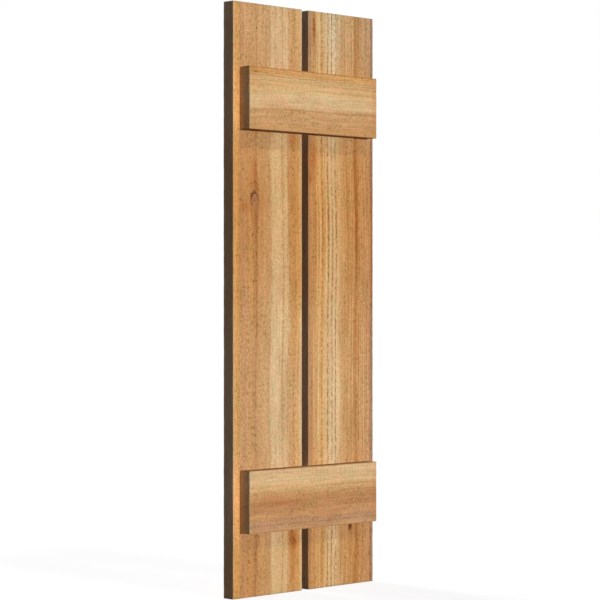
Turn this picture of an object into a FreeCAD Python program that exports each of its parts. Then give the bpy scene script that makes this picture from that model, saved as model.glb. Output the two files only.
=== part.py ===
import FreeCAD, Part
import math
import os

from FreeCAD import Vector

# Board and batten shutter: two upright cedar boards, set a little apart, joined by two level battens.
# The battens lie on the front of the boards. Countersunk wood screws, driven from behind, pass through
# each board and stop inside the batten, so that no fastener shows on the front.
#
# Frame, in millimetres: +X to the right along the front, +Y towards the wall, +Z up.
# The origin is the middle of the left board's back face, which lies flat on the wall.

# Boards
SHUTTER_HEIGHT = 812.8
BOARD_WIDTH = 133.35
BOARD_THICKNESS = 19.05
BOARD_GAP = 12.7

# Battens: the inset is from the boards' outer edges, the end distance from the boards' sawn ends
BATTEN_WIDTH = 85.7
BATTEN_THICKNESS = 19.05
BATTEN_INSET = 12.7
BATTEN_END_DISTANCE = 88.9

# Eased edge, taken off every corner of a plank at 45 degrees
ARRIS = 0.8

# Screws, two at each crossing of a board and a batten
SCREW_SHANK_DIAMETER = 4.2
SCREW_HEAD_DIAMETER = 8.2
SCREW_HEAD_ANGLE = 82.0
SCREW_HEAD_SINK = 0.4
SCREW_POINT_LENGTH = 5.0
SCREW_TIP_COVER = 6.35
SCREW_HOLE_CLEARANCE = 0.1
SCREW_FROM_BOARD_EDGE = 33.0
SCREW_FROM_BATTEN_EDGE = 22.0

# Cross recess in a screw's head
RECESS_LENGTH = 4.6
RECESS_WIDTH = 1.1
RECESS_DEPTH = 1.6

# Places that follow from the sizes above
BOARD_CENTRES_X = {"left": 0.0, "right": BOARD_WIDTH + BOARD_GAP}
WALL_Y = 0.0
BOARD_FRONT_Y = WALL_Y - BOARD_THICKNESS
BATTEN_FRONT_Y = BOARD_FRONT_Y - BATTEN_THICKNESS
OUTER_LEFT_X = BOARD_CENTRES_X["left"] - BOARD_WIDTH / 2
OUTER_RIGHT_X = BOARD_CENTRES_X["right"] + BOARD_WIDTH / 2
BATTEN_HEIGHT_Z = SHUTTER_HEIGHT / 2 - BATTEN_END_DISTANCE - BATTEN_WIDTH / 2
BATTEN_CENTRES_Z = {"upper": BATTEN_HEIGHT_Z, "lower": -BATTEN_HEIGHT_Z}
SCREW_HEAD_Y = WALL_Y - SCREW_HEAD_SINK
SCREW_TIP_Y = BATTEN_FRONT_Y + SCREW_TIP_COVER


def plank(x_span, y_span, z_span):
    """A sawn plank with its edges eased."""
    spans = (x_span, y_span, z_span)
    corner = Vector(*[low for low, high in spans])
    lengths = [high - low for low, high in spans]
    block = Part.makeBox(*lengths, corner)
    return block.makeChamfer(ARRIS, block.Edges)


def board(centre_x):
    """An upright board with its back on the wall."""
    x_span = (centre_x - BOARD_WIDTH / 2, centre_x + BOARD_WIDTH / 2)
    z_span = (-SHUTTER_HEIGHT / 2, SHUTTER_HEIGHT / 2)
    return plank(x_span, (BOARD_FRONT_Y, WALL_Y), z_span)


def batten(centre_z):
    """A level batten across the front of both boards."""
    x_span = (OUTER_LEFT_X + BATTEN_INSET, OUTER_RIGHT_X - BATTEN_INSET)
    z_span = (centre_z - BATTEN_WIDTH / 2, centre_z + BATTEN_WIDTH / 2)
    return plank(x_span, (BATTEN_FRONT_Y, BOARD_FRONT_Y), z_span)


def turned(profile, centre_x, centre_z):
    """A solid turned about a line along Y, from (radius, y) corners that start and end on that line."""
    corners = [Vector(centre_x + radius, y, centre_z) for radius, y in profile]
    outline = Part.Wire(Part.makePolygon(corners + corners[:1]))
    return Part.Face(outline).revolve(Vector(centre_x, 0, centre_z), Vector(0, 1, 0), 360)


def screw_profile(clearance):
    """Corners of a screw from the rim of its head to its tip. Its hole clears the shank, and the head seats in it."""
    head_radius = SCREW_HEAD_DIAMETER / 2
    shank_radius = SCREW_SHANK_DIAMETER / 2 + clearance
    cone_length = (head_radius - shank_radius) / math.tan(math.radians(SCREW_HEAD_ANGLE / 2))
    return [
        (head_radius, SCREW_HEAD_Y),
        (shank_radius, SCREW_HEAD_Y - cone_length),
        (shank_radius, SCREW_TIP_Y + SCREW_POINT_LENGTH),
        (0, SCREW_TIP_Y - clearance),
    ]


def screw(centre_x, centre_z):
    """A countersunk wood screw with a cross recess, its head just below the boards' back."""
    body = turned([(0, SCREW_HEAD_Y)] + screw_profile(0), centre_x, centre_z)
    for length_x, length_z in ((RECESS_LENGTH, RECESS_WIDTH), (RECESS_WIDTH, RECESS_LENGTH)):
        corner = Vector(centre_x - length_x / 2, SCREW_HEAD_Y - RECESS_DEPTH, centre_z - length_z / 2)
        body = body.cut(Part.makeBox(length_x, RECESS_DEPTH, length_z, corner))
    return body


def screw_hole(centre_x, centre_z):
    """The hole for one screw, open at the boards' back."""
    profile = screw_profile(SCREW_HOLE_CLEARANCE)
    mouth_radius = profile[0][0]
    return turned([(0, WALL_Y), (mouth_radius, WALL_Y)] + profile, centre_x, centre_z)


def screw_places():
    """Name and (x, z) of every screw: two on a diagonal at each crossing, the outer one nearer the boards' ends."""
    from_board_centre = BOARD_WIDTH / 2 - SCREW_FROM_BOARD_EDGE
    from_batten_centre = BATTEN_WIDTH / 2 - SCREW_FROM_BATTEN_EDGE
    outwards_x = {"left": -from_board_centre, "right": from_board_centre}
    outwards_z = {"upper": from_batten_centre, "lower": -from_batten_centre}
    places = {}
    for level, centre_z in BATTEN_CENTRES_Z.items():
        for side, centre_x in BOARD_CENTRES_X.items():
            for end, sign in (("outer", 1), ("inner", -1)):
                x = centre_x + sign * outwards_x[side]
                z = centre_z + sign * outwards_z[level]
                places[f"{level}_{side}_{end}_screw"] = (x, z)
    return places


def main():
    """Builds every piece and writes one STEP file for each."""
    planks = {f"{side}_board": board(x) for side, x in BOARD_CENTRES_X.items()}
    planks.update({f"{level}_batten": batten(z) for level, z in BATTEN_CENTRES_Z.items()})
    holes = [screw_hole(x, z) for x, z in screw_places().values()]
    pieces = {name: shape.cut(holes) for name, shape in planks.items()}
    pieces.update({name: screw(x, z) for name, (x, z) in screw_places().items()})

    os.makedirs("parts", exist_ok=True)
    for name, shape in pieces.items():
        shape.exportStep(f"parts/{name}.step")
        box = shape.BoundBox
        size = f"{box.XLength:.2f} x {box.YLength:.2f} x {box.ZLength:.2f} mm"
        print(f"{name}: {len(shape.Solids)} solid, {size}, {shape.Volume / 1000:.2f} cm3")


main()
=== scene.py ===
# %% [markdown]
# # A board and batten shutter in rough-sawn cedar
# Two upright boards stand a finger's width apart, and two level battens hold them together. The real
# thing is four sawn planks and a handful of screws, so everything that makes it worth looking at is
# in the wood: where each year's growth runs, how the saw left the faces, how the edges were eased.
#
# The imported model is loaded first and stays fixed. Every plank below is made inside the box of the
# solid that it stands for, so the sizes can't drift.

import math

import bpy
import numpy as np
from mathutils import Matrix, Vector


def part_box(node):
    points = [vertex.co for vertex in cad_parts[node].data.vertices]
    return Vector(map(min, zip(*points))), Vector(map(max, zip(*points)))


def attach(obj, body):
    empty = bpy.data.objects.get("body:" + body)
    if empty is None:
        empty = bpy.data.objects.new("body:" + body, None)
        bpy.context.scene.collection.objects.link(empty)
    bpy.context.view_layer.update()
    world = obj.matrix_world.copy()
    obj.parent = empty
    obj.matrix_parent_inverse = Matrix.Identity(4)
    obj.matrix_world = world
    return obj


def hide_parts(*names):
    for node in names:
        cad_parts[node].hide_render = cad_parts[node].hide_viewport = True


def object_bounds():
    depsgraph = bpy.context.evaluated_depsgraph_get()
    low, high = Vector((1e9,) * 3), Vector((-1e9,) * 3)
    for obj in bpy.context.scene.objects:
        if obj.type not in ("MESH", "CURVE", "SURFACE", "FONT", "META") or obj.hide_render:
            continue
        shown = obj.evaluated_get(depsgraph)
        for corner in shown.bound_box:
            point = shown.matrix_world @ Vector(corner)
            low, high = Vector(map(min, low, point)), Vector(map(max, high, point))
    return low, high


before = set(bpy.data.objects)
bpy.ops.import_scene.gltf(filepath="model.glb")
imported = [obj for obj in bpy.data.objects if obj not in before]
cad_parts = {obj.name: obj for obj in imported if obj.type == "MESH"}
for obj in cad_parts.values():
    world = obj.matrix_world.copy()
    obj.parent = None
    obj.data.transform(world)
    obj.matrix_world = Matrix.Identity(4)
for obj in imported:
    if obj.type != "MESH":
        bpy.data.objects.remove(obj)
cad_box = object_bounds()
MM = 1000.0  # millimetres in a metre
print("nodes:", ", ".join(sorted(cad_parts)))
print("size of the frame in mm:", [round(MM * (high - low), 1) for low, high in zip(*cad_box)])

# %% [markdown]
# ## Camera
# The upright edges are parallel in the picture and the level ones meet at eye height, half way up the
# shutter. So the camera is level, at that height, and turned about 45 degrees round to the left of the
# front. A long lens at three metres gives the gentle narrowing from the near edge to the far one.

# %% Place the camera
CAMERA_TURN = math.radians(45.45)
CAMERA_PLACE = (-2.1337, -2.1811, 0.0)  # metres
SENSOR_MM = 36.0
FOCAL_LENGTH_PX = 2205.8
IMAGE_PX = 600


def new_object(name, data):
    """A new object in the scene, for a camera, a lamp or a mesh."""
    made = bpy.data.objects.new(name, data)
    bpy.context.collection.objects.link(made)
    return made


camera = new_object("camera", bpy.data.cameras.new("camera"))
camera.location = CAMERA_PLACE
camera.rotation_euler = (math.pi / 2, 0.0, -CAMERA_TURN)
camera.data.sensor_width = SENSOR_MM
camera.data.lens = SENSOR_MM * FOCAL_LENGTH_PX / IMAGE_PX
bpy.context.scene.camera = camera
bpy.context.scene.view_settings.view_transform = "Standard"
print("lens in mm:", round(camera.data.lens, 1))

# %% [markdown]
# ## Colours and nodes
# Wood tones are easiest to name as the hex values seen on a screen, but shaders count light in a linear
# scale, so one function turns the first into the second. One other small function adds a node with its
# settings and its links, which keeps the recipes below short enough to read.

# %% Turn colours to linear and add nodes
def linear(hex_colour):
    """A screen colour such as '#CE985C' as the linear RGBA that a shader takes, by the sRGB curve."""
    screen = [int(hex_colour[i:i + 2], 16) / 255 for i in (1, 3, 5)]
    return [c / 12.92 if c <= 0.04045 else ((c + 0.055) / 1.055) ** 2.4 for c in screen] + [1.0]


def empty_tree(owner):
    """The node tree of a new material or world, emptied."""
    owner.use_nodes = True
    owner.node_tree.nodes.clear()
    return owner.node_tree


def add(tree, kind, inputs=(), stops=(), **settings):
    """Adds a shader node and gives its outputs. Inputs, in order or by name, are sockets to link or values
    to set. Stops fill a colour ramp."""
    made = tree.nodes.new("ShaderNode" + kind)
    for name, value in settings.items():
        setattr(made, name, value)
    for number, (position, colour) in enumerate(stops):
        elements = made.color_ramp.elements  # a new ramp has two
        element = elements[number] if number < 2 else elements.new(position)
        element.position, element.color = position, colour
    for name, value in inputs.items() if isinstance(inputs, dict) else enumerate(inputs):
        if isinstance(value, bpy.types.NodeSocket):
            tree.links.new(value, made.inputs[name])
        else:
            made.inputs[name].default_value = value
    return made.outputs


print("sawn cedar's middle tone, linear:", [round(c, 3) for c in linear("#C69561")])

# %% [markdown]
# ## Light
# The fronts are evenly bright while every side that faces left, up or down is deep brown, so nearly all
# the light comes from straight in front of the boards. It is tilted down by two degrees, which draws a
# thin dark line under each batten. A weaker light from high in front adds the soft shadow below that.
# Two more, behind and on the right, show the sides that this picture doesn't, and light none that it
# does. Area lamps would do too, but a sun is even over the whole height of the shutter.

# %% Light the shutter
LAMPS = {  # strength, turn in degrees, width of the light in degrees
    "front_light": (2.27, (88, 0, 0), 3),
    "high_light": (0.69, (38.4, 0, 0), 9),
    "back_light": (2.2, (60, 0, 180), 20),
    "right_light": (1.6, (86, 0, 98), 20),
}
for name, (strength, turn, width) in LAMPS.items():
    lamp = new_object(name, bpy.data.lights.new(name, "SUN"))
    lamp.data.energy = strength
    lamp.data.angle = math.radians(width)
    lamp.rotation_euler = [math.radians(angle) for angle in turn]
print("lamps:", ", ".join(LAMPS))

# %% [markdown]
# ## Surround
# The walls of a studio send back a little cool light, most of it from eye level. The world does the
# same here: it is strongest at the horizon, falls off upwards, and sends nothing from below, so that
# tops and undersides stay dark. To the camera, to metal and to glass the same world is plain white. A
# white world for all rays would be simpler, but it would wash out the dark edges.

# %% Make the surround
SURROUND_COLOUR = linear("#BED4FF")
SURROUND_STRENGTH = 0.64
SURROUND_FALL = 2.0  # power by which it falls off from eye level to straight above
WHITE = linear("#FFFFFF")


def seen_as_white(tree):
    """One for rays from the camera, off gloss and through glass, and nothing for all others."""
    path = add(tree, "LightPath")
    seen = path["Is Camera Ray"]
    for ray in ("Is Glossy Ray", "Is Transmission Ray"):
        seen = add(tree, "Math", [seen, path[ray]], operation="MAXIMUM")[0]
    return seen


world = bpy.data.worlds.new("studio")
bpy.context.scene.world = world
tree = empty_tree(world)
direction = add(tree, "TexCoord")["Generated"]
height = add(tree, "SeparateXYZ", [direction])["Z"]
level = add(tree, "Math", [1.0, height], operation="SUBTRACT", use_clamp=True)[0]
level = add(tree, "Math", [level, SURROUND_FALL], operation="POWER")[0]
above = add(tree, "Math", [height, 0.0], operation="GREATER_THAN")[0]
above = add(tree, "Math", [above, SURROUND_STRENGTH], operation="MULTIPLY")[0]
level = add(tree, "Math", [level, above], operation="MULTIPLY")[0]
dim = add(tree, "Background", {"Color": SURROUND_COLOUR, "Strength": level})[0]
white = add(tree, "Background", {"Color": WHITE, "Strength": 1.0})[0]
mixed = add(tree, "MixShader", [seen_as_white(tree), dim, white])[0]
add(tree, "OutputWorld", {"Surface": mixed})
print("surround at eye level:", SURROUND_STRENGTH)

# %% [markdown]
# ## Floor
# The shutter stands on matt studio paper, which gives the eye nothing but a faint soft shadow. A plane
# that runs far past the picture needs no curve behind it. Paper that is white by light alone would need
# lamps so strong that pale wood clips. So what the camera sees is grey paper with a plain glow added:
# white where the light falls on it, and a shade darker in the shadow. To the wood it is a dull grey,
# which throws up little light.

# %% Lay the floor
FLOOR_REACH = 30.0  # metres
PAPER_TO_THE_EYE = linear("#8D8D8D")
PAPER_TO_THE_WOOD = linear("#454545")
PAPER_GLOW = 0.845


def studio_paper():
    """Matt paper that shows the camera a faint shadow on white."""
    material = bpy.data.materials.new("white_studio_paper")
    tree = empty_tree(material)
    shaded = add(tree, "BsdfDiffuse", {"Color": PAPER_TO_THE_EYE})[0]
    glow = add(tree, "Emission", {"Color": WHITE, "Strength": PAPER_GLOW})[0]
    bright = add(tree, "AddShader", [shaded, glow])[0]
    dull = add(tree, "BsdfDiffuse", {"Color": PAPER_TO_THE_WOOD})[0]
    mixed = add(tree, "MixShader", [seen_as_white(tree), dull, bright])[0]
    add(tree, "OutputMaterial", {"Surface": mixed})
    return material


floor_z = cad_box[0].z
corners = [(FLOOR_REACH * x, FLOOR_REACH * y, floor_z) for x, y in ((-1, -1), (1, -1), (1, 1), (-1, 1))]
floor_mesh = bpy.data.meshes.new("floor")
floor_mesh.from_pydata(corners, [], [(0, 1, 2, 3)])
floor_mesh.materials.append(studio_paper())
floor = new_object("floor", floor_mesh)
floor.visible_shadow = False  # the front light, almost level, would otherwise be cut off by the floor
print("floor at", round(MM * floor_z, 1), "mm")

# %% [markdown]
# ## A plank's own directions
# Wood has three directions: across the growth rings, into the depth, and along the grain. A board's
# grain runs up and a batten's runs level. If every plank is worked out in its own three directions,
# one set of functions serves both, and only the last step turns them into the frame's X, Y and Z.

# %% Find a plank's directions
PLANKS = ("left_board", "right_board", "upper_batten", "lower_batten")


def plank_kind(node):
    """Whether a plank is a board or a batten."""
    return node.split("_")[1]


def plank_axes(node):
    """Corner, three directions and size in mm of a plank: across it, into its depth, along its grain."""
    low, high = (np.array(corner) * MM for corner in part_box(node))
    x, y, z = np.eye(3)
    if plank_kind(node) == "board":
        corner, directions = low, np.array([x, y, z])
    else:
        corner, directions = np.array([low[0], low[1], high[2]]), np.array([-z, y, x])
    return corner, directions, np.abs(directions @ (high - low))


for node in PLANKS:
    print(node, "across, deep, long in mm:", plank_axes(node)[2].round(1))

# %% [markdown]
# ## A closed skin
# A sawn plank is a box, but its faces are never flat. A cube with a bevel couldn't carry any relief, so
# the whole skin is one closed grid of small quads. The grid is finest across the grain, where the
# growth rings lie close together. Two extra lines at each edge leave points to round it with.

# %% Make a plank's skin
ARRIS_MM = 0.6  # radius of an eased edge
QUARTER_ROUND = 1.0 - math.tan(math.pi / 8)  # a line this many radii in ends up a quarter of the way round
GRID_PITCH_MM = (1.25, 2.4, 2.6)  # across, into the depth, along
QUAD_STEPS = ((0, 0), (1, 0), (1, 1), (0, 1))  # corners of a quad, in grid lines


def grid_lines(length, pitch):
    """Places of the grid lines along one side, with two extra ones in each eased edge."""
    ease = ARRIS_MM * np.array([0.0, QUARTER_ROUND])
    count = round((length - 2 * ARRIS_MM) / pitch)
    middle = np.linspace(ARRIS_MM, length - ARRIS_MM, count + 1)
    return np.concatenate([ease, middle, length - ease[::-1]])


def side_quads(counts, axis):
    """Outward quads, as numbers of grid points, of the two sides that face along one axis."""
    one, two = (axis + 1) % 3, (axis + 2) % 3
    i, j = np.meshgrid(np.arange(counts[one] - 1), np.arange(counts[two] - 1), indexing="ij")
    quads = []
    for end, order in ((0, -1), (counts[axis] - 1, 1)):
        corners = []
        for step_i, step_j in QUAD_STEPS[::order]:
            place = [None, None, None]
            place[axis] = np.full(i.size, end)
            place[one] = i.ravel() + step_i
            place[two] = j.ravel() + step_j
            corners.append(np.ravel_multi_index(place, counts))
        quads.append(np.stack(corners, 1))
    return np.concatenate(quads)


def plank_skin(size):
    """Points and quads of a closed grid over a box."""
    lines = [grid_lines(length, pitch) for length, pitch in zip(size, GRID_PITCH_MM)]
    counts = [len(line) for line in lines]
    quads = np.concatenate([side_quads(counts, axis) for axis in range(3)])
    used, faces = np.unique(quads, return_inverse=True)
    places = np.unravel_index(used, counts)
    points = np.stack([line[place] for line, place in zip(lines, places)], 1)
    return points, faces.reshape(-1, 4)


board_size = plank_axes("left_board")[2]
skin_points, skin_quads = plank_skin(board_size)
print("a board's skin:", len(skin_points), "points,", 2 * len(skin_quads), "triangles")

# %% [markdown]
# ## Eased edges
# A few strokes of a plane or of sandpaper take the sharp arris off each edge, and in soft wood the
# result is round and slightly nibbled. A bevel would be too regular. Here each point in an edge is
# pulled onto a small circle, whose radius wanders along the edge in three waves. The back of a batten
# is eased more than the rest, which leaves a thin dark line where it meets the boards.

# %% Ease the edges
NIBBLE_LENGTHS_MM = (19, 47, 113)
NIBBLE = 0.175  # how far one wave changes the radius, as a share of it
END_SQUEEZE = 1.7  # across an end the waves are this much shorter than along an edge
BACK_EASING = {"board": 1.0, "batten": 1.6}


def eased(points, size, back_easing, random):
    """The points with their arrises rounded, and the direction that is outward at each."""
    far, back = points[:, 0] > size[0] / 2, points[:, 1] > size[1] / 2
    edge = far + 2 * back
    run = points[:, 2] + END_SQUEEZE * points[:, 0]
    wander = np.zeros(len(points))
    for length in NIBBLE_LENGTHS_MM:
        wander += np.sin(2 * math.pi * run / length + random.uniform(0, 2 * math.pi, 4)[edge])
    radius = ARRIS_MM * (1 + NIBBLE * wander[:, None])
    radius[back] *= back_easing
    core = np.clip(points, radius, size - radius)
    outward = points - core
    outward /= np.linalg.norm(outward, axis=1, keepdims=True)
    return core + radius * outward, outward


eased_points, _ = eased(skin_points, board_size, BACK_EASING["board"], np.random.default_rng(1))
print("easing moves a point by up to", np.abs(eased_points - skin_points).max().round(2), "mm")

# %% [markdown]
# ## How the tree grew
# The stripes on a board are growth rings cut lengthwise. Painting stripes on the front alone would
# leave the edges and ends wrong, so each point of the plank gets a place in the tree instead: its place
# across the rings, in millimetres, measured at the front face. Rings lean and fan out through the
# depth, so the back and the sawn ends show the same rings at their own slant.
#
# What is special to each plank is noted first, as one would with a rule laid on the wood. All
# lengths are in millimetres: across from the left or upper edge, along from the middle of the plank.

# %% Note the growth of the left board
# lean, fan: slant of the rings through the depth, and how much it changes from edge to edge
# sway: how far the rings swing along the grain. straight: up to here, across, they don't
# ring_width, ring_contrast: width of one year's growth, and how far its late wood stands out
# fuzz, flecks, broken: how far torn fibres mottle the wood, darken it in spots and break up its dark lines
# knots: across, along, half width, half length, drift per mm of depth
# knot_core: how many radii out a knot's tones begin, since a small dark knot has no rosy middle
# stains: across, along, reach across, reach along, strength, which is negative where the wood is made paler
# swells: along, reach along, sideways shift of the rings
# warmth_and_painted_shade, mellow, weathering: along, amount. Warm wood is browner, and in mellow wood
# the bands run together. The drop in warmth just below each batten is painted cool shade
GROWTH = {}
GROWTH["left_board"] = dict(
    lean=0.35, fan=0.9, sway=1.2, straight=13, ring_width=2.6, ring_contrast=0.55,
    fuzz=0.95, flecks=0.95, broken=0.8,
    knots=[(40.5, 138, 6.8, 10, 0.25)], knot_core=0,
    stains=[
        (43, 157, 2.4, 8, 1.3), (42, 180, 2.6, 22, 0.7), (36, 172, 6, 16, 0.25),
        (43.5, 112, 2.4, 16, 0.8), (44, 60, 4, 60, 0.35), (44, -60, 4, 60, 0.2),
        (56, 134, 9, 16, 0.4), (22, 128, 9, 7, 0.75), (116, 223, 9, 10, 0.8),
        (113, -330, 10, 13, 1.5), (119, -338, 6, 6, 0.7), (117, -351, 8, 22, 0.4),
        (124, 120, 3.5, 100, 0.4),
        # the four negative stains make the wood paler beside the batten ends
        (6, 253, 9, 28, -0.75), (6, 297, 9, 28, -0.75),
        (6, -253, 9, 28, -0.75), (6, -297, 9, 28, -0.75),
    ],
    swells=[(130, 90, 1.5), (-120, 100, -1.5)],
    # the drops to 228 and -322 mm, just below the battens, are painted cool shade where their shadows fall
    warmth_and_painted_shade=[
        (-406, 0.4), (-346, 0.35), (-322, 0), (-240, -0.7), (-90, -0.6), (60, 0.45), (140, 0.7),
        (204, 0.5), (228, 0.05), (300, 0), (330, -0.5), (406, -0.6),
    ],
    mellow=[
        (-406, -0.5), (-330, -0.5), (-240, 0.15), (-90, 0.15), (60, -0.3), (200, -0.1), (330, 0.35),
        (406, 0.45),
    ],
    weathering=[(0, 0)],
)
print("left board:", len(GROWTH["left_board"]["stains"]), "stains")

# %% Note the growth of the right board
GROWTH["right_board"] = dict(
    lean=-0.3, fan=1.1, sway=0.8, straight=-30, ring_width=1.9, ring_contrast=1.5,
    fuzz=1.0, flecks=0.8, broken=0.95,
    knots=[(86, -324, 3.4, 6.5, 0.3)], knot_core=0.85,
    stains=[
        (11.5, 385, 3.2, 18, 2), (13, 358, 5, 30, 0.4), (9, 200, 9, 26, 1.1),
        (4, 170, 3, 8, 1.3), (97, 130, 4.5, 90, 0.35), (86.5, -352, 2.2, 28, 0.7),
        (86, -324, 2.6, 5.5, 1.6), (5, 60, 5, 60, 0.3), (6, -190, 5, 60, 0.3),
        (9, -365, 14, 50, 0.3), (88, 32, 2.5, 12, 0.4), (130, 60, 3, 200, 0.3),
    ],
    swells=[(105, 75, 2.4), (-20, 60, -1.2)],
    # the drops to 228 and -320 mm, just below the battens, are painted cool shade where their shadows fall
    warmth_and_painted_shade=[
        (-406, 0.2), (-335, 0.15), (-320, -0.2), (-240, -0.6), (-90, -0.6), (30, 0.3), (140, 0.8),
        (204, 0.45), (228, -0.3), (300, -0.2), (330, -0.75), (406, -0.9),
    ],
    mellow=[(-406, -0.3), (-330, -0.3), (-240, -0.15), (200, -0.2), (330, -0.3), (406, -0.3)],
    weathering=[(318, 0), (334, 0.14), (356, 0.26), (406, 0.4)],
)
print("right board:", len(GROWTH["right_board"]["stains"]), "stains")

# %% Note the growth of the battens
GROWTH["upper_batten"] = dict(
    lean=0.25, fan=0.5, sway=0.7, straight=18, ring_width=2.6, ring_contrast=0.65,
    fuzz=0.76, flecks=0.95, broken=0.3,
    knots=[],
    stains=[
        (5, -115, 5, 8, 0.5), (55, -40, 2, 30, 0.2), (54, 40, 1.6, 20, 0.2),
        (81, 80, 4, 60, 0.35), (43, 122, 60, 3.5, 0.45), (43, -119, 60, 2, 0.2),
    ],
    swells=[(-125, 34, 3), (40, 40, 1.2), (115, 34, -2)],
    warmth_and_painted_shade=[(-127, 0.1), (-60, -0.1), (40, -0.2), (127, 0.1)],
    mellow=[(0, -0.15)],
    weathering=[(0, 0)],
)
GROWTH["lower_batten"] = dict(
    lean=-0.3, fan=0.5, sway=0.7, straight=-30, ring_width=2.6, ring_contrast=0.65,
    fuzz=0.78, flecks=0.75, broken=0.5,
    knots=[],
    stains=[
        (46.5, -65, 4.5, 24, 0.4), (45, 25, 4, 26, 0.35), (40, -70, 12, 30, 0.2),
        (43, 122, 60, 3.5, 0.4), (43, -119, 60, 2, 0.2),
    ],
    swells=[(10, 50, 1.5)],
    warmth_and_painted_shade=[(-127, -0.1), (0, 0.1), (127, -0.2)],
    mellow=[(0, -0.2)],
    weathering=[(0, 0)],
)
print("battens:", [len(GROWTH[node]["stains"]) for node in PLANKS[2:]], "stains")

# %% [markdown]
# ## Each point's place in the tree
# Those notes now become values for every point of a plank. Along the grain the rings sway, and where a
# branch grew they part and close again round its knot. A point near a knot also gets its place beside
# and above it, counted in that knot's own radii, so that one recipe paints large and small knots. A
# shader could work all this out, but mesh code does it once, and what it made can be measured.

# %% Place each point in the tree
SWAY_LENGTHS_MM = (310, 730)
LOOSENING_MM = 20.0  # past the straight stretch, the sway sets in over this width
PARTING = 0.85  # how far a knot pushes the rings aside, as a share of its half width
PARTING_BESIDE = 1.6  # how far that reaches, in knot radii
PARTING_ABOVE = 3.2
FAR_FROM_KNOT = 99.0  # knot radii, on a plank without a knot


def from_knot(local, size, knot):
    """How far beside and above a knot each point lies, in knot radii."""
    place, height, half_width, half_length, drift = knot
    beside = (local[:, 0] - place - drift * local[:, 1]) / half_width
    above = (local[:, 2] - size[2] / 2 - height) / half_length
    return beside, above


def place_in_tree(local, size, growth):
    """Each point's place across the rings, in the depth and along the grain, in mm."""
    across, depth, along = local[:, 0], local[:, 1], local[:, 2] - size[2] / 2
    loose = ((across - growth["straight"]) / LOOSENING_MM).clip(0, 1)
    ring = across + depth * (growth["lean"] + growth["fan"] * (across / size[0] - 0.5))
    for number, length in enumerate(SWAY_LENGTHS_MM):
        ring = ring - loose * growth["sway"] * np.sin(2 * math.pi * along / length + number + size[0])
    for place, reach, shift in growth["swells"]:
        ring = ring - loose * shift * np.exp(-((along - place) / reach) ** 2)
    for knot in growth["knots"]:
        half_width = knot[2]
        beside, above = from_knot(local, size, knot)
        near = np.exp(-(beside / PARTING_BESIDE) ** 2 - (above / PARTING_ABOVE) ** 2)
        ring = ring - PARTING * half_width * beside * near
    return np.stack([ring, depth, along], 1)


def place_at_knot(local, size, growth):
    """Each point's place beside and above its nearest knot, in knot radii."""
    nearest = np.full((len(local), 3), (FAR_FROM_KNOT, 0.0, 0.0))
    for knot in growth["knots"]:
        here = np.stack([*from_knot(local, size, knot), np.zeros(len(local))], 1)
        nearer = np.linalg.norm(here, axis=1) < np.linalg.norm(nearest, axis=1)
        nearest[nearer] = here[nearer]
    return nearest


skin_grain = place_in_tree(skin_points, board_size, GROWTH["left_board"])
skin_knot = place_at_knot(skin_points, board_size, GROWTH["left_board"])
rings = skin_grain[:, 0]
print("rings on the left board run from", rings.min().round(1), "to", rings.max().round(1), "mm")

# %% [markdown]
# ## What became of the wood
# The same wood differs from stretch to stretch. Heartwood is warmer here and paler there, its bands are
# sharp or mellow, an end that has stood in the weather turns grey, and resin stains a spot. Just below
# each batten the warmth drops as painted cool shade, and beside the batten ends the wood is made paler.
# Noise would scatter such marks anywhere, so these are worked out from the notes. A stain fades into
# the depth.

# %% Age each point of the wood
STAIN_DEPTH_MM = 9.0
STAIN_LIMITS = (-1.0, 2.0)  # from the palest, beside the batten ends, to dark with resin


def aged_wood(local, size, growth):
    """How warm, mellow, weathered and stained the wood is at each point. The warmth also
    carries painted cool shade below the battens, and a negative stain makes the wood paler.
    """
    across, depth, along = local[:, 0], local[:, 1], local[:, 2] - size[2] / 2
    amounts = {name: np.interp(along, *zip(*growth[name])) for name in ("warmth_and_painted_shade", "mellow", "weathering")}
    stain = np.zeros(len(local))
    for place, height, wide, long, strength in growth["stains"]:
        stain += strength * np.exp(-((across - place) / wide) ** 2 - ((along - height) / long) ** 2)
    amounts["stain"] = stain.clip(*STAIN_LIMITS) * np.exp(-depth / STAIN_DEPTH_MM)
    return amounts


skin_stain = aged_wood(skin_points, board_size, GROWTH["left_board"])["stain"]
print("stain on the left board from", skin_stain.min().round(2), "to", skin_stain.max().round(2))

# %% [markdown]
# ## What the saw left
# The planks were never planed. A band saw leaves shallow ripples across the grain, the hard late wood
# of each ring stands a hair higher than the soft early wood, and a knot stands higher still. These are
# tenths of a millimetre, and they only ever cut inwards, so the plank stays inside its box. Finer
# fibres are left to the material.

# %% Work out the sawn relief
RELIEF_MM = 0.26
RING_RELIEF = {3.1: 0.5, 5.3: 0.6, 8.7: 0.5}  # length of a wave in mm, share
RING_DRIFT_MM = 900.0  # along the grain, a ring's relief drifts by one wave over this length
SAW_RELIEF = {6.7: 0.35, 10.9: 0.35, 61.0: 0.6}  # the same, along the grain
SAW_TILT = 0.04  # the ripples lean across the grain by up to this
KNOT_RELIEF = 1.5


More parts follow.
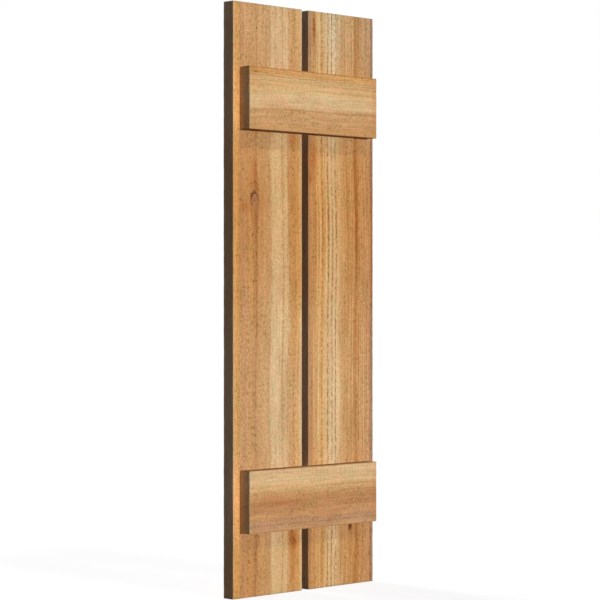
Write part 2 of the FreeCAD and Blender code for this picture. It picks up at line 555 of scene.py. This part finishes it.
def sawn_relief(grain, knot, random):
    """How far in mm the skin lies below the plank's box."""
    ring, _, along = grain.T
    height = np.zeros(len(grain))
    for length, share in RING_RELIEF.items():
        waves = ring / length + along / RING_DRIFT_MM
        height += share * np.sin(2 * math.pi * waves + random.uniform(0, 2 * math.pi))
    for length, share in SAW_RELIEF.items():
        waves = (along + random.uniform(-SAW_TILT, SAW_TILT) * ring) / length
        height += share * np.sin(2 * math.pi * waves + random.uniform(0, 2 * math.pi))
    height += KNOT_RELIEF * np.exp(-np.linalg.norm(knot, axis=1) ** 2)
    reach = sum(RING_RELIEF.values()) + sum(SAW_RELIEF.values())
    return RELIEF_MM * (1 - (height / reach).clip(-1, 1)) / 2


skin_relief = sawn_relief(skin_grain, skin_knot, np.random.default_rng(1))
print("relief in mm from", skin_relief.min().round(2), "to", skin_relief.max().round(2))

# %% [markdown]
# ## Screw holes
# The screws stay as they are in the frame, and their heads show on the back. Each plank therefore
# needs their holes, countersunk in the boards. A boolean with turned cutters makes them round, which
# the grid alone can't do. The place, the head's width and the depth are read from the screw itself.

# %% Make the hole cutters
SCREWS = sorted(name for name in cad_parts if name.endswith("_screw"))
HOLE_SIDES = 48
SHANK_RADIUS_MM = 2.2  # of the hole, which clears the screw
HEAD_HALF_ANGLE = math.radians(41.0)
HOLE_CLEARANCE_MM = 0.06  # round the head
CUTTER_PROUD_MM = 2.0  # the cutter sticks out this far behind the head, to cut clear of the back


def hole_profile(low, high):
    """(radius, y) corners of a screw's hole, from behind its head to its tip."""
    head = (high[0] - low[0]) / 2 + HOLE_CLEARANCE_MM
    cone = (head - SHANK_RADIUS_MM) / math.tan(HEAD_HALF_ANGLE)
    rim = [(head, high[1] + CUTTER_PROUD_MM), (head, high[1])]
    return rim + [(SHANK_RADIUS_MM, high[1] - cone), (SHANK_RADIUS_MM, low[1])]


def hole_cutter():
    """One mesh object with a turned, countersunk cutter at every screw."""
    points, faces = [], []
    turn = np.linspace(0, 2 * math.pi, HOLE_SIDES, endpoint=False)
    for name in SCREWS:
        low, high = (np.array(corner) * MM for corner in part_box(name))
        x, z = (low[0] + high[0]) / 2, (low[2] + high[2]) / 2
        profile = hole_profile(low, high)
        start = len(points)
        for radius, y in profile:
            points += [(x + radius * math.cos(a), y, z + radius * math.sin(a)) for a in turn]
        last = start + (len(profile) - 1) * HOLE_SIDES
        for near in range(start, last, HOLE_SIDES):
            far = near + HOLE_SIDES
            for side in range(HOLE_SIDES):
                after = (side + 1) % HOLE_SIDES
                faces.append((near + side, near + after, far + after, far + side))
        faces.append(tuple(range(start + HOLE_SIDES - 1, start - 1, -1)))
        faces.append(tuple(range(last, last + HOLE_SIDES)))
    mesh = bpy.data.meshes.new("hole_cutter")
    mesh.from_pydata((np.array(points) / MM).tolist(), [], faces)
    return new_object("hole_cutter", mesh)


cutter = hole_cutter()
print("cutters:", len(SCREWS), "with", len(cutter.data.polygons), "faces")

# %% [markdown]
# ## Four planks
# Now the steps come together for each plank: skin, growth, eased edges, relief, holes. Every plank draws
# its nibbles and ripples from a seed of its own, so no two are alike and each run gives the same four.

# %% Saw the planks
FIRST_SEED = 11


def sawn_plank(node, seed):
    """The finished mesh object of one plank, standing for the frame's solid."""
    corner, directions, size = plank_axes(node)
    random = np.random.default_rng(seed)
    points, quads = plank_skin(size)
    grain, knot = place_in_tree(points, size, GROWTH[node]), place_at_knot(points, size, GROWTH[node])
    points, outward = eased(points, size, BACK_EASING[plank_kind(node)], random)
    points = points - outward * sawn_relief(grain, knot, random)[:, None]

    mesh = bpy.data.meshes.new(node + "_sawn")
    mesh.from_pydata(((corner + points @ directions) / MM).tolist(), [], quads.tolist())
    plank = new_object(node + "_sawn", mesh)
    holes = plank.modifiers.new("screw_holes", "BOOLEAN")
    holes.object = cutter
    holes.operation = "DIFFERENCE"
    holes.solver = "MANIFOLD"
    finished = bpy.data.meshes.new_from_object(plank.evaluated_get(bpy.context.evaluated_depsgraph_get()))
    plank.modifiers.remove(holes)
    plank.data = finished
    bpy.data.meshes.remove(mesh)
    finished.name = node + "_sawn"
    finished.materials.clear()
    return plank


planks = {node: sawn_plank(node, seed) for seed, node in enumerate(PLANKS, FIRST_SEED)}
bpy.data.objects.remove(cutter)
print({node: len(plank.data.polygons) for node, plank in planks.items()}, "faces")

# %% [markdown]
# ## Growth on the mesh
# The growth is worked out once more now that the holes are cut, so that the new points inside them have
# it too. It is kept on each mesh as named values, which the material reads. An image wrapped round the
# plank could hold the same, but values on the points need no unwrapping and can't stretch.

# %% Keep the growth
EDGE_FADE_MM = 1.0  # the look of a sawn edge or end fades out over this width
END_SHADE_MM = 3.0  # a rim of painted shade runs this far in from a sawn end
SHARP_ANGLE = math.radians(35.0)  # what turns more, such as the rim of a hole, stays crisp


def keep_growth(plank, node):
    """Writes the growth to the mesh, point by point, for the material to read."""
    corner, directions, size = plank_axes(node)
    growth = GROWTH[node]
    mesh = plank.data
    place = np.empty(3 * len(mesh.vertices))
    mesh.vertices.foreach_get("co", place)
    local = (place.reshape(-1, 3) * MM - corner) @ directions.T
    places = {"grain": place_in_tree(local, size, growth), "knot": place_at_knot(local, size, growth)}
    for name, values in places.items():
        mesh.attributes.new(name, "FLOAT_VECTOR", "POINT").data.foreach_set("vector", values.ravel())

    inside = np.minimum(local, size - local)
    sawn_edge, _, end_grain = (1.0 - inside / EDGE_FADE_MM).clip(0, 1).T
    # painted shade: the rim along each sawn end turns the face darker and greyer
    rim = (1.0 - inside[:, 2] / END_SHADE_MM).clip(0, 1)
    amounts = {**aged_wood(local, size, growth), "sawn_edge": sawn_edge, "end_grain": end_grain}
    amounts["weathering_and_end_shade"] = np.maximum(rim, amounts.pop("weathering")) * (1.0 - end_grain)
    for name, values in amounts.items():
        mesh.attributes.new(name, "FLOAT", "POINT").data.foreach_set("value", values)
    mesh.polygons.foreach_set("use_smooth", np.ones(len(mesh.polygons), bool))
    mesh.set_sharp_from_angle(angle=SHARP_ANGLE)


for node, plank in planks.items():
    keep_growth(plank, node)
    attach(plank, "root")
    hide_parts(node)
    print(plank.name, "keeps its growth at", len(plank.data.vertices), "points")

# %% [markdown]
# ## Western red cedar
# Freshly sawn cedar is a mix of orange-brown heartwood and cream sapwood, dry and dull to the eye. A
# picture of wood could be wrapped round each plank, but its stripes would break at the edges. Here the
# broad bands are listed as tones with names, and a colour ramp lays them across the growth rings.
# That keeps each band whole from the front round to the ends. Narrow dark lines, where a year ended
# late, are laid out in the same way.

# %% Lay out the bands of each plank
CEDAR = {
    "gold": "#D8A263", "rose": "#C89463", "amber": "#CB965E", "russet": "#C0864E", "tan": "#CF9C65",
    "fawn": "#CC9D6B", "cream": "#DDB888", "straw": "#D9AF79", "honey": "#D09A5A", "bark": "#BE8A5C",
    "clay": "#BE9069", "ash": "#A98466",
}
BANDS = {  # mm across the rings, tone
    "left_board": [
        # the pale straw stop 1 mm in is a painted highlight along the front left edge
        (0, "tan"), (1, "straw"), (2.5, "gold"), (7, "gold"), (9, "honey"), (12.4, "honey"),
        (13.2, "rose"), (25, "rose"), (31, "amber"), (38, "amber"), (43, "bark"), (49, "tan"),
        (62, "fawn"), (69, "fawn"), (75, "cream"), (92, "cream"), (96, "straw"), (100, "cream"),
        (104, "cream"), (108, "tan"), (112, "amber"), (118, "amber"), (120.5, "gold"), (127, "gold"),
        (131, "cream"),
    ],
    "right_board": [
        (0, "fawn"), (1.5, "bark"), (6, "rose"), (9, "amber"), (14, "tan"), (18, "gold"), (22, "straw"),
        (25, "gold"), (29, "gold"), (34, "straw"), (38, "straw"), (45, "cream"), (54, "cream"),
        (60, "straw"), (66, "fawn"), (72, "tan"), (82, "amber"), (90, "tan"), (94, "russet"),
        (101, "russet"), (106, "amber"), (114, "rose"), (122, "rose"), (126, "bark"), (130, "ash"),
    ],
    "upper_batten": [
        (0, "gold"), (6, "gold"), (11, "straw"), (28, "straw"), (36, "cream"), (51, "cream"),
        (56, "fawn"), (75, "fawn"), (80, "tan"), (86, "fawn"),
    ],
    "lower_batten": [
        (0, "cream"), (20, "cream"), (26, "straw"), (32, "fawn"), (40, "rose"), (47, "bark"),
        (56, "bark"), (65, "rose"), (73, "clay"), (80, "clay"), (86, "fawn"),
    ],
}
print({node: len(bands) for node, bands in BANDS.items()}, "bands")

# %% Lay out the growth lines
GROWTH_LINES = {  # mm across the rings, half width, darkness
    "left_board": [
        (12.9, 0.6, 0.3), (37.5, 1.1, 0.35), (43.5, 1.3, 0.45), (62, 0.9, 0.2), (70, 1.1, 0.3),
        (82, 0.9, 0.2), (95, 1.4, 0.45), (106, 0.8, 0.35), (119, 0.9, 0.5),
    ],
    "right_board": [
        (27, 2, 0.6), (39.2, 1.5, 1), (47.4, 1.4, 0.9), (55, 1.4, 1), (74, 0.9, 0.3),
        (80.5, 1, 0.4), (87.5, 1.2, 0.4), (97, 3.2, 0.3), (103, 0.9, 0.3), (129, 1.5, 0.45),
    ],
    "upper_batten": [
        (1.2, 0.8, 0.45), (4.5, 0.7, 0.4), (7.8, 0.8, 0.5), (11, 0.9, 0.55), (14.5, 0.8, 0.42),
        (18, 0.7, 0.35), (35, 0.8, 0.15), (56, 2, 0.2), (66, 0.8, 0.2), (80, 1, 0.2),
    ],
    "lower_batten": [
        (5, 0.9, 0.25), (13, 0.7, 0.15), (29, 1, 0.2), (47, 3, 0.15), (57, 0.9, 0.2),
        (70, 1, 0.2), (77, 0.8, 0.2),
    ],
}
print({node: len(lines) for node, lines in GROWTH_LINES.items()}, "lines")

# %% [markdown]
# ## Finer marks
# Within the bands the eye finds year rings, fibres, the fuzz and torn flecks that the saw left, and slow
# clouds of colour. Each is the same kind of noise, stretched to the size of the real mark. The finest
# fibres of cedar are a twentieth of a millimetre wide and would vanish in a picture of the whole
# shutter, so fibres, fuzz and flecks are drawn as coarse as they need to show.

# %% Stretch noise to the size of each mark
MARKS_MM = {  # size across the rings, into the depth and along the grain, then how far the mark curls
    "sway": (12, 12, 60, 0),
    "wobble": (5, 5, 12, 0),
    "fibres": (1.3, 1.3, 24, 0),
    "fuzz": (4.2, 4.2, 2.6, 0.8),
    "ragged": (4.6, 4.6, 3.4, 1),
    "flecks": (4.4, 4.4, 4.8, 0.3),
    "dashes": (4, 4, 6.5, 0.3),
    "clouds": (18, 18, 70, 0.4),
    "blending": (30, 30, 80, 0.6),
    "blush": (9, 9, 26, 0.6),
}
RING_DEPTH = 6.0  # a year ring is this many times as deep as it is wide
RING_LENGTH_MM = 240.0


def finer_marks(tree, grain, ring_width):
    """One noise for each kind of mark, as values about a half."""
    sizes = {**MARKS_MM, "year_rings": (ring_width, RING_DEPTH * ring_width, RING_LENGTH_MM, 0.0)}
    marks = {}
    for name, (*size, curl) in sizes.items():
        scale = [1 / length for length in size]
        place = add(tree, "VectorMath", [grain, scale], operation="MULTIPLY")[0]
        marks[name] = add(tree, "TexNoise", {"Vector": place, "Scale": 1.0, "Distortion": curl})["Fac"]
    return marks


print("finest mark across the grain in mm:", min(size[0] for size in MARKS_MM.values()))

# %% [markdown]
# ## Bands
# Real bands are not ruled: they sway, and in places they run together. Noise moves the ring value before
# the ramp reads it, except where the growth is noted as straight, and mixes the bands towards one middle
# tone. Slow patches of a rosier and a yellower glaze keep a wide band from looking painted.
# A glaze is written as the share of red, green and blue that it keeps, above one where it brightens.

# %% Paint the bands
MIDDLE = 0.5  # of a noise
BAND_WANDER_MM = 11.0
BLENDING = (0.45, 0.7, 0.0, 0.5)  # noise from, to, and how far the bands then run together, from, to
EDGE_BLENDING = 0.75  # how far they run together on edges and ends
BLENDED_TONE = linear(CEDAR["fawn"])
BLUSH = (0.3, 0.7)  # noise from rosy to yellow
ROSY_GLAZE = (1.05, 0.96, 0.96, 1.0)
YELLOW_GLAZE = (0.97, 1.03, 0.95, 1.0)


def glazed(tree, colour, glazes):
    """The colour under thin glazes, each as strong as its cover."""
    # a Mix takes its two colours at inputs 6 and 7, and two numbers at 2 and 3
    for cover, tint in glazes:
        colour = add(tree, "Mix", {0: cover, 6: colour, 7: tint}, data_type="RGBA", blend_type="MULTIPLY")[2]
    return colour


def banded_colour(tree, node, ring, greyed, marks):
    """The plank's bands, which sway and run together in places."""
    width = plank_axes(node)[2][0]
    straight = GROWTH[node]["straight"]
    loosened = add(tree, "MapRange", [ring, straight, straight + LOOSENING_MM])[0]
    sway = add(tree, "Math", [marks["sway"], MIDDLE], operation="SUBTRACT")[0]
    sway = add(tree, "Math", [sway, loosened], operation="MULTIPLY")[0]
    swayed = add(tree, "Math", [sway, BAND_WANDER_MM, ring], operation="MULTIPLY_ADD")[0]
    place = add(tree, "Math", [swayed, width], operation="DIVIDE", use_clamp=True)[0]
    bands = [(min(mm / width, 1.0), linear(CEDAR[tone])) for mm, tone in BANDS[node]]
    colour = add(tree, "ValToRGB", [place], stops=bands)["Color"]

    blended = add(tree, "MapRange", [marks["blending"], *BLENDING])[0]
    mellow = add(tree, "Attribute", attribute_name="mellow")["Fac"]
    blended = add(tree, "Math", [blended, mellow], operation="ADD", use_clamp=True)[0]
    blended = add(tree, "Math", [blended, loosened], operation="MULTIPLY")[0]
    at_edge = add(tree, "Math", [greyed, EDGE_BLENDING], operation="MULTIPLY")[0]
    blended = add(tree, "Math", [blended, at_edge], operation="MAXIMUM")[0]
    colour = add(tree, "Mix", {0: blended, 6: colour, 7: BLENDED_TONE}, data_type="RGBA")[2]
    hue = add(tree, "MapRange", [marks["blush"], *BLUSH])[0]
    hue = add(tree, "Mix", {0: hue, 6: ROSY_GLAZE, 7: YELLOW_GLAZE}, data_type="RGBA")[2]
    return glazed(tree, colour, [(1.0, hue)])


print("bands sway by up to", BAND_WANDER_MM * MIDDLE, "mm each way")

# %% [markdown]
# ## Shade and growth lines
# Year rings, fibres, fuzz and clouds are added up into one shade, which runs from a brown glaze to a
# bright one: dark wood is warmer than light wood, so grey shading would look like dirt. The dark lines
# wobble a little on their way up the board. The saw tore part of each away, so a line is broken into
# dashes rather than drawn through.

# %% Shade the bands and draw the lines
SHADE_WEIGHTS = {"fibres": 0.5, "clouds": 0.5}
BROWN_GLAZE = (0.66, 0.56, 0.44, 1.0)
BRIGHT_GLAZE = (1.34, 1.44, 1.56, 1.0)
CALMING = 0.6  # edges and ends show this much less of the shade
LINE_WANDER_MM = 4.5
DASHES = (0.38, 0.56)  # noise from a gap to a dash
LINE_GLAZE = (0.36, 0.16, 0.03, 1.0)


def shaded_colour(tree, node, colour, greyed, marks):
    """The colour with its finer marks, as one shade from brown to bright."""
    growth = GROWTH[node]
    weights = {**SHADE_WEIGHTS, "year_rings": growth["ring_contrast"], "fuzz": growth["fuzz"]}
    shade = MIDDLE - MIDDLE * sum(weights.values())
    for name, weight in weights.items():
        shade = add(tree, "Math", [marks[name], weight, shade], operation="MULTIPLY_ADD")[0]
    calm = add(tree, "Math", [greyed, CALMING], operation="MULTIPLY")[0]
    shade = add(tree, "Mix", {0: calm, 2: shade, 3: MIDDLE})[0]
    tint = add(tree, "Mix", {0: shade, 6: BROWN_GLAZE, 7: BRIGHT_GLAZE}, data_type="RGBA")[2]
    return glazed(tree, colour, [(1.0, tint)])


def lined_colour(tree, node, colour, ring, marks):
    """The colour with the plank's dark growth lines, broken into dashes."""
    width = plank_axes(node)[2][0]
    wobble = add(tree, "Math", [marks["wobble"], MIDDLE], operation="SUBTRACT")[0]
    wobbled = add(tree, "Math", [wobble, LINE_WANDER_MM, ring], operation="MULTIPLY_ADD")[0]
    place = add(tree, "Math", [wobbled, width], operation="DIVIDE", use_clamp=True)[0]
    covers = [(0.0, 0.0)]
    for mm, half, darkness in GROWTH_LINES[node]:
        covers += [(mm - half, 0.0), (mm, darkness), (mm + half, 0.0)]
    stops = [(mm / width, [cover] * 3 + [1.0]) for mm, cover in covers]
    line = add(tree, "ValToRGB", [place], stops=stops)["Color"]
    gap = 1.0 - GROWTH[node]["broken"]
    dashes = add(tree, "MapRange", [marks["dashes"], *DASHES, gap, 1.0])[0]
    cover = add(tree, "Math", [line, dashes], operation="MULTIPLY")[0]
    return glazed(tree, colour, [(cover, LINE_GLAZE)])


print("lines wobble by up to", LINE_WANDER_MM * MIDDLE, "mm each way")

# %% [markdown]
# ## What crosses the bands
# Over the bands lie the things that don't follow them: warm and pale stretches, rusty stains that are
# darkest where the resin is thick, paler wood beside the batten ends, and dark flecks of torn fibre,
# which gather in the heartwood. Just below each batten the warmth drops as painted cool shade. The
# boards' edges and ends are a little greyer than their faces. The battens' long edges are painted a
# deep brown as shade, and their ends are painted paler as light reflected onto them from the boards.
# A weathered end is grey, and a darker, greyer rim along each sawn end is painted shade. Each is a
# glaze with its own cover, so the list below can be read from the first coat to the last.

# %% Paint what crosses the bands
SAPWOOD_GREEN = linear(CEDAR["cream"])[1]
HEARTWOOD_GREEN = linear(CEDAR["amber"])[1]
HEART = (SAPWOOD_GREEN, HEARTWOOD_GREEN, 0.2, 1.0)  # green from, to, and strength of flecks, from, to
PATCHES = (0.36, 0.64, 0.3, 1.4)  # noise from, to, and how much of a stain took there, from, to
TORN = (0.5, 0.67)  # noise from whole wood to a fleck
CLUSTERS = (0.4, 0.6, 0.2, 1.0)  # noise from, to, and the share of flecks there, from, to
PALE_AND_COOL_SHADE_GLAZE = (1.06, 1.15, 1.29, 1.0)
WARM_GLAZE = (0.93, 0.82, 0.66, 1.0)
STAIN_GLAZE = (0.84, 0.60, 0.40, 1.0)
RESIN_GLAZE = (0.58, 0.46, 0.50, 1.0)
# makes the wood paler where a stain is negative, beside the batten ends
LIGHTENED_GLAZE = (1.30, 1.30, 1.38, 1.0)
FLECK_GLAZE = (0.68, 0.55, 0.40, 1.0)
# darker and greyer: weathered grey at the right board's top, and painted shade in a rim along every sawn end
WEATHER_AND_END_SHADE_GLAZE = (0.70, 0.84, 1.05, 1.0)
# boards' sawn edges a little greyer; the battens' long edges painted deep brown as shade
EDGE_GREY_AND_SHADE_GLAZE = {"board": (0.93, 0.98, 1.13, 1.0), "batten": (0.46, 0.38, 0.28, 1.0)}
# boards' ends a little greyer; the battens' ends painted paler, as light reflected onto them from the boards
END_GREY_AND_PAINTED_LIGHT_GLAZE = {"board": (0.98, 1.06, 1.16, 1.0), "batten": (1.20, 1.36, 1.46, 1.0)}


def fleck_cover(tree, node, bands, greyed, marks):
    """Where the saw tore dark flecks: in clusters on the faces, and most of all in heartwood."""
    green = add(tree, "SeparateColor", [bands])["Green"]
    heart = add(tree, "MapRange", [green, *HEART])[0]
    clusters = add(tree, "MapRange", [marks["blush"], *CLUSTERS])[0]
    on_face = add(tree, "Math", [1.0, greyed], operation="SUBTRACT", use_clamp=True)[0]
    cover = add(tree, "MapRange", [marks["flecks"], *TORN, 0.0, GROWTH[node]["flecks"]])[0]
    for share in (clusters, heart, on_face):
        cover = add(tree, "Math", [cover, share], operation="MULTIPLY")[0]
    return cover


def figured_colour(tree, node, colour, flecks, amounts, marks):
    """The colour with warmth, stains, flecks, edges and ends glazed over it, among them painted
    shade below the battens, on the battens' long edges and along sawn ends, and painted light on the
    battens' ends.
    """
    # the warmth drops below the battens are painted cool shade
    warm = add(tree, "MapRange", [amounts["warmth_and_painted_shade"], -1.0, 1.0])[0]
    warm = add(tree, "Mix", {0: warm, 6: PALE_AND_COOL_SHADE_GLAZE, 7: WARM_GLAZE}, data_type="RGBA")[2]
    patches = add(tree, "MapRange", [marks["fuzz"], *PATCHES])[0]
    stain = add(tree, "Math", [amounts["stain"], patches], operation="MULTIPLY")[0]
    resin = add(tree, "Math", [stain, 1.0], operation="SUBTRACT", use_clamp=True)[0]
    lightened = add(tree, "Math", [amounts["stain"], -1.0], operation="MULTIPLY")[0]
    kind = plank_kind(node)
    # painted shade: the warmth drop below the battens, the rim along each sawn end and the battens' long
    # edges; painted light: the battens' ends
    return glazed(tree, colour, [
        (1.0, warm), (stain, STAIN_GLAZE), (resin, RESIN_GLAZE), (lightened, LIGHTENED_GLAZE),
        (flecks, FLECK_GLAZE), (amounts["weathering_and_end_shade"], WEATHER_AND_END_SHADE_GLAZE),
        (amounts["sawn_edge"], EDGE_GREY_AND_SHADE_GLAZE[kind]), (amounts["end_grain"], END_GREY_AND_PAINTED_LIGHT_GLAZE[kind]),
    ])


print("green of sapwood and heartwood:", round(SAPWOOD_GREEN, 2), round(HEARTWOOD_GREEN, 2))

# %% [markdown]
# ## Knots
# A knot is a branch cut through: a rosy core with a ring of dark bark that the saw tore, thickest on its
# upper side. Its tones are read from a ramp by the distance in knot radii. Noise makes that distance
# ragged, because a true circle would look stamped.

# %% Paint the knots
KNOT_REACH = 2.0  # how far out a knot colours the wood, in knot radii
KNOT_RAGGED = 1.6  # how far noise moves that distance, in knot radii
KNOT_TONES = [  # distance in knot radii, colour, cover
    (0.0, "#8A5638", 0.7), (0.2, "#A56C4A", 0.7), (0.45, "#B97F5A", 0.75), (0.8, "#AD734A", 0.7),
    (1.1, "#B0733F", 0.45), (1.9, "#B5763F", 0.0),
]
BARK_COVER = [(0.5, 0.0), (0.78, 1.0), (1.0, 1.0), (1.3, 0.0)]  # distance in knot radii, cover
BARK_GLAZE = (0.36, 0.27, 0.22, 1.0)
UPWARDS = (-0.35, 0.94, 0.0)  # beside, above: where the bark is thickest
UPPER_BARK = 0.22  # how much thicker it is there
TORN_BARK = (0.4, 0.62)  # noise from torn away to whole


def knotted_colour(tree, colour, core, marks):
    """The colour with a knot over it: a rosy core, and torn bark round it that is thickest above."""
    knot = add(tree, "Attribute", attribute_name="knot")["Vector"]
    away = add(tree, "VectorMath", [knot], operation="LENGTH")["Value"]
    ragged = add(tree, "Math", [marks["ragged"], MIDDLE], operation="SUBTRACT")[0]
    away = add(tree, "Math", [ragged, KNOT_RAGGED, away], operation="MULTIPLY_ADD")[0]
    away = add(tree, "Math", [away, core], operation="MAXIMUM")[0]
    place = add(tree, "Math", [away, KNOT_REACH], operation="DIVIDE", use_clamp=True)[0]
    stops = [(radii / KNOT_REACH, linear(tone)[:3] + [cover]) for radii, tone, cover in KNOT_TONES]
    tones = add(tree, "ValToRGB", [place], stops=stops)
    colour = add(tree, "Mix", {0: tones["Alpha"], 6: colour, 7: tones["Color"]}, data_type="RGBA")[2]

    stops = [(radii / KNOT_REACH, [cover] * 3 + [1.0]) for radii, cover in BARK_COVER]
    bark = add(tree, "ValToRGB", [place], stops=stops)["Color"]
    facing = add(tree, "VectorMath", [knot], operation="NORMALIZE")["Vector"]
    facing = add(tree, "VectorMath", [facing, UPWARDS], operation="DOT_PRODUCT")["Value"]
    torn = add(tree, "Math", [facing, UPPER_BARK, marks["fuzz"]], operation="MULTIPLY_ADD")[0]
    torn = add(tree, "MapRange", [torn, *TORN_BARK])[0]
    bark = add(tree, "Math", [bark, torn], operation="MULTIPLY")[0]
    return glazed(tree, colour, [(bark, BARK_GLAZE)])


print("a knot colours the wood out to", KNOT_REACH, "radii")

# %% [markdown]
# ## The sawn surface
# Dry sawn cedar scatters light almost evenly: high roughness, and so little gloss that it is set well
# below the usual half. Fibres and fuzz also give the light a fine grain to catch. They are too fine for
# the mesh, so they are a bump.

# %% Finish the cedar
CEDAR_IOR = 1.5
CEDAR_GLOSS = 0.12  # a half is usual
CEDAR_ROUGHNESS = (0.3, 0.7, 0.95, 0.8)  # noise from, to, roughness from, to
BUMP_MM = 0.4
BUMP_STRENGTH = 0.5


def cedar(node):
    """Rough-sawn western red cedar with this plank's own bands: warm, striped, dry and dull."""
    material = bpy.data.materials.new("rough_sawn_cedar_" + node)
    tree = empty_tree(material)
    grain = add(tree, "Attribute", attribute_name="grain")["Vector"]
    ring = add(tree, "SeparateXYZ", [grain])["X"]
    names = ("warmth_and_painted_shade", "stain", "weathering_and_end_shade", "sawn_edge", "end_grain")
    amounts = {name: add(tree, "Attribute", attribute_name=name)["Fac"] for name in names}
    greyed = add(tree, "Math", [amounts["sawn_edge"], amounts["end_grain"]], operation="MAXIMUM")[0]
    marks = finer_marks(tree, grain, GROWTH[node]["ring_width"])

    bands = banded_colour(tree, node, ring, greyed, marks)
    flecks = fleck_cover(tree, node, bands, greyed, marks)
    colour = shaded_colour(tree, node, bands, greyed, marks)
    colour = lined_colour(tree, node, colour, ring, marks)
    colour = figured_colour(tree, node, colour, flecks, amounts, marks)
    if GROWTH[node]["knots"]:
        colour = knotted_colour(tree, colour, GROWTH[node]["knot_core"], marks)

    height = add(tree, "Math", [marks["fibres"], marks["fuzz"]], operation="ADD")[0]
    bump = add(tree, "Bump", {"Strength": BUMP_STRENGTH, "Distance": BUMP_MM / MM, "Height": height})[0]
    rough = add(tree, "MapRange", [marks["fibres"], *CEDAR_ROUGHNESS])[0]
    inputs = {"Base Color": colour, "Roughness": rough, "Normal": bump, "IOR": CEDAR_IOR}
    inputs["Specular IOR Level"] = CEDAR_GLOSS
    wood = add(tree, "BsdfPrincipled", inputs)[0]
    add(tree, "OutputMaterial", {"Surface": wood})
    return material


for node, plank in planks.items():
    plank.data.materials.append(cedar(node))
    print(plank.name, "wears", plank.data.materials[0].name)

# %% [markdown]
# ## Zinc-plated screws
# The screws are plated steel with a faint yellow passivation, which comes out mottled. That could be a
# plain grey metal, but the mottle is what tells plating from bare steel. A metal keeps the default IOR,
# and its colour is its reflection.

# %% Plate the screws
MOTTLE_MM = 1.1
MOTTLE_DETAIL = 3.0
PLATE_YELLOW = linear("#C9B98A")
PLATE_GREY = linear("#9C9A90")
PLATE_ROUGHNESS = (0.3, 0.7, 0.28, 0.5)  # as for the cedar
PLATE_BUMP_MM = 0.1
PLATE_BUMP = 0.3  # strength


def zinc_plate():
    """Yellow-passivated zinc on steel: a satin metal, mottled from straw to grey."""
    material = bpy.data.materials.new("zinc_plated_steel")
    tree = empty_tree(material)
    place = add(tree, "TexCoord")["Object"]
    inputs = {"Vector": place, "Scale": MM / MOTTLE_MM, "Detail": MOTTLE_DETAIL}
    mottle = add(tree, "TexNoise", inputs)["Fac"]
    colour = add(tree, "Mix", {0: mottle, 6: PLATE_YELLOW, 7: PLATE_GREY}, data_type="RGBA")[2]
    rough = add(tree, "MapRange", [mottle, *PLATE_ROUGHNESS])[0]
    bump = add(tree, "Bump", {"Strength": PLATE_BUMP, "Distance": PLATE_BUMP_MM / MM, "Height": mottle})[0]
    inputs = {"Base Color": colour, "Metallic": 1.0, "Roughness": rough, "Normal": bump}
    metal = add(tree, "BsdfPrincipled", inputs)[0]
    add(tree, "OutputMaterial", {"Surface": metal})
    return material


plated = zinc_plate()
for name in SCREWS:
    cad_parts[name].data.materials.clear()
    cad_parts[name].data.materials.append(plated)
print(len(SCREWS), "screws plated")
